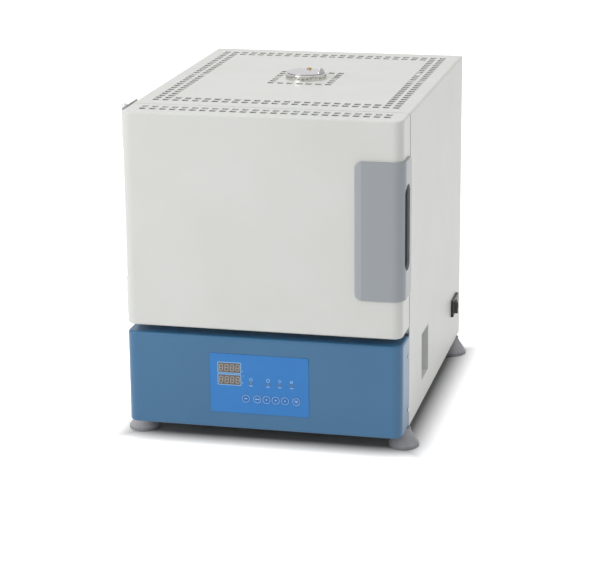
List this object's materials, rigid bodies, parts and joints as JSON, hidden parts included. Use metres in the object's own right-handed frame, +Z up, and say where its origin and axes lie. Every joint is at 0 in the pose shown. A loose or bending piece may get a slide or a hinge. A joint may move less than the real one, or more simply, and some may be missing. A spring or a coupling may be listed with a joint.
{
  "type": "muffle furnace",
  "caption": "Bench-top muffle furnace: fibre-lined chamber behind a side-hinged plug door, slotted cabinet with a lidded flue on top, blue fascia with displays and keys below.",
  "frame": {"origin": "on the bench, under the centre of the overall bounding box", "axes": "+X to the furnace's right as seen from its front, +Y from its door to its rear, +Z up"},
  "size_m": [0.485, 0.618, 0.5628],
  "materials": {
    "black_fan": "matt",
    "black_plastic": "gloss",
    "blue_enamel": "satin",
    "blue_key": "matt",
    "blue_panel": "gloss",
    "brass": "turned",
    "breaker_case": "matt",
    "bright_screw": "nickel plated",
    "cast_aluminium": "as cast",
    "circuit_board": "matt",
    "dark_moulding": "fine grain",
    "display_window": "gloss",
    "element_coil": "rough",
    "fibre_board": "rough, stands in for ceramic-fibre board",
    "foot_grey": "fine grain",
    "grey_moulding": "fine grain",
    "hearth_ceramic": "rough",
    "lamp_lens": "gloss",
    "polished_stainless": "polished",
    "recess_grey": "satin",
    "sheath_ceramic": "matt",
    "stainless_steel": "brushed",
    "white_enamel": "satin",
    "wire_sleeve": "glass-fibre sleeve",
    "zinc_plated_steel": "satin"
  },
  "bodies": {
    "cabinet": {"base_pan": "zinc_plated_steel", "bay_divider": "zinc_plated_steel", "breaker_recess": "recess_grey", "cabinet_shell": "white_enamel", "cable_gland": "black_plastic", "case_screws": "bright_screw", "catch_magnets": "bright_screw", "chamber_floor": "fibre_board", "chamber_left_wall": "fibre_board", "chamber_rear_wall": "fibre_board", "chamber_right_wall": "fibre_board", "chamber_roof": "fibre_board", "circuit_breaker": "breaker_case", "control_board": "circuit_board", "control_panel": "blue_panel", "fan_frame": "black_fan", "fascia_brackets": "zinc_plated_steel", "flue_tube": "sheath_ceramic", "front_fascia": "blue_enamel", "front_frame": "stainless_steel", "hearth_plate": "hearth_ceramic", "heat_sink": "cast_aluminium", "heating_elements": "element_coil", "hinge_cabinet_leaves": "stainless_steel", "hinge_pins": "stainless_steel", "indicator_lamps": "lamp_lens", "inner_case": "stainless_steel", "lower_display": "display_window", "mains_switch": "black_plastic", "rear_panel": "white_enamel", "roof_rail": "zinc_plated_steel", "solid_state_relay": "breaker_case", "terminal_block": "breaker_case", "thermocouple_head": "cast_aluminium", "thermocouple_sheath": "sheath_ceramic", "throat_ring": "fibre_board", "upper_display": "display_window", "vent_collar": "polished_stainless", "vent_pivot_screw": "brass", "wiring": "wire_sleeve"},
    "door": {"door_shell": "white_enamel", "door_inner_panel": "stainless_steel", "door_plug": "fibre_board", "handle_cover": "grey_moulding", "handle_cup": "dark_moulding", "hinge_door_leaves": "stainless_steel"},
    "vent_lid_body": {"vent_lid": "stainless_steel"},
    "rocker_body": {"switch_rocker": "black_plastic"},
    "toggle_body": {"breaker_toggle": "black_plastic"},
    "fan_rotor_body": {"fan_rotor": "black_fan"},
    "set_key_body": {"set_key": "blue_key"},
    "auto_tune_key_body": {"auto_tune_key": "blue_key"},
    "shift_key_body": {"shift_key": "blue_key"},
    "down_key_body": {"down_key": "blue_key"},
    "up_key_body": {"up_key": "blue_key"},
    "run_stop_key_body": {"run_stop_key": "blue_key"},
    "front_left_foot_body": {"front_left_foot": "foot_grey"},
    "front_right_foot_body": {"front_right_foot": "foot_grey"},
    "rear_left_foot_body": {"rear_left_foot": "foot_grey"},
    "rear_right_foot_body": {"rear_right_foot": "foot_grey"}
  },
  "joints": [
    {"name": "door_swing", "type": "hinge", "parent": "cabinet", "child": "door", "pos_m": [-0.23, -0.259, 0.4085], "axis": [0, 0, -1], "range_deg": [0, 135]},
    {"name": "vent_lid_swivel", "type": "hinge", "parent": "cabinet", "child": "vent_lid_body", "pos_m": [0, 0.0475, 0.5545], "axis": [0, 0, 1], "range_deg": [0, 140]},
    {"name": "mains_switch_rock", "type": "hinge", "parent": "cabinet", "child": "rocker_body", "pos_m": [0.222, 0.214, 0.104], "axis": [0, 0, -1], "range_deg": [0, 16]},
    {"name": "breaker_toggle_throw", "type": "hinge", "parent": "cabinet", "child": "toggle_body", "pos_m": [0.196, -0.09, 0.1105], "axis": [0, 1, 0], "range_deg": [0, 70]},
    {"name": "fan_spin", "type": "hinge", "parent": "cabinet", "child": "fan_rotor_body", "pos_m": [0.12, 0.2715, 0.114], "axis": [0, 1, 0], "continuous": true},
    {"name": "set_key_press", "type": "slide", "parent": "cabinet", "child": "set_key_body", "axis": [0, 1, 0], "range_m": [0, 0.0005], "stiffness_N_per_m": 1000, "springref_m": -0.0008},
    {"name": "auto_tune_key_press", "type": "slide", "parent": "cabinet", "child": "auto_tune_key_body", "axis": [0, 1, 0], "range_m": [0, 0.0005], "stiffness_N_per_m": 1000, "springref_m": -0.0008},
    {"name": "shift_key_press", "type": "slide", "parent": "cabinet", "child": "shift_key_body", "axis": [0, 1, 0], "range_m": [0, 0.0005], "stiffness_N_per_m": 1000, "springref_m": -0.0008},
    {"name": "down_key_press", "type": "slide", "parent": "cabinet", "child": "down_key_body", "axis": [0, 1, 0], "range_m": [0, 0.0005], "stiffness_N_per_m": 1000, "springref_m": -0.0008},
    {"name": "up_key_press", "type": "slide", "parent": "cabinet", "child": "up_key_body", "axis": [0, 1, 0], "range_m": [0, 0.0005], "stiffness_N_per_m": 1000, "springref_m": -0.0008},
    {"name": "run_stop_key_press", "type": "slide", "parent": "cabinet", "child": "run_stop_key_body", "axis": [0, 1, 0], "range_m": [0, 0.0005], "stiffness_N_per_m": 1000, "springref_m": -0.0008},
    {"name": "front_left_foot_turn", "type": "hinge", "parent": "cabinet", "child": "front_left_foot_body", "pos_m": [-0.218, -0.243, 0.016], "axis": [0, 0, 1], "continuous": true},
    {"name": "front_right_foot_turn", "type": "hinge", "parent": "cabinet", "child": "front_right_foot_body", "pos_m": [0.218, -0.243, 0.016], "axis": [0, 0, 1], "continuous": true},
    {"name": "rear_left_foot_turn", "type": "hinge", "parent": "cabinet", "child": "rear_left_foot_body", "pos_m": [-0.218, 0.253, 0.016], "axis": [0, 0, 1], "continuous": true},
    {"name": "rear_right_foot_turn", "type": "hinge", "parent": "cabinet", "child": "rear_right_foot_body", "pos_m": [0.218, 0.253, 0.016], "axis": [0, 0, 1], "continuous": true}
  ]
}
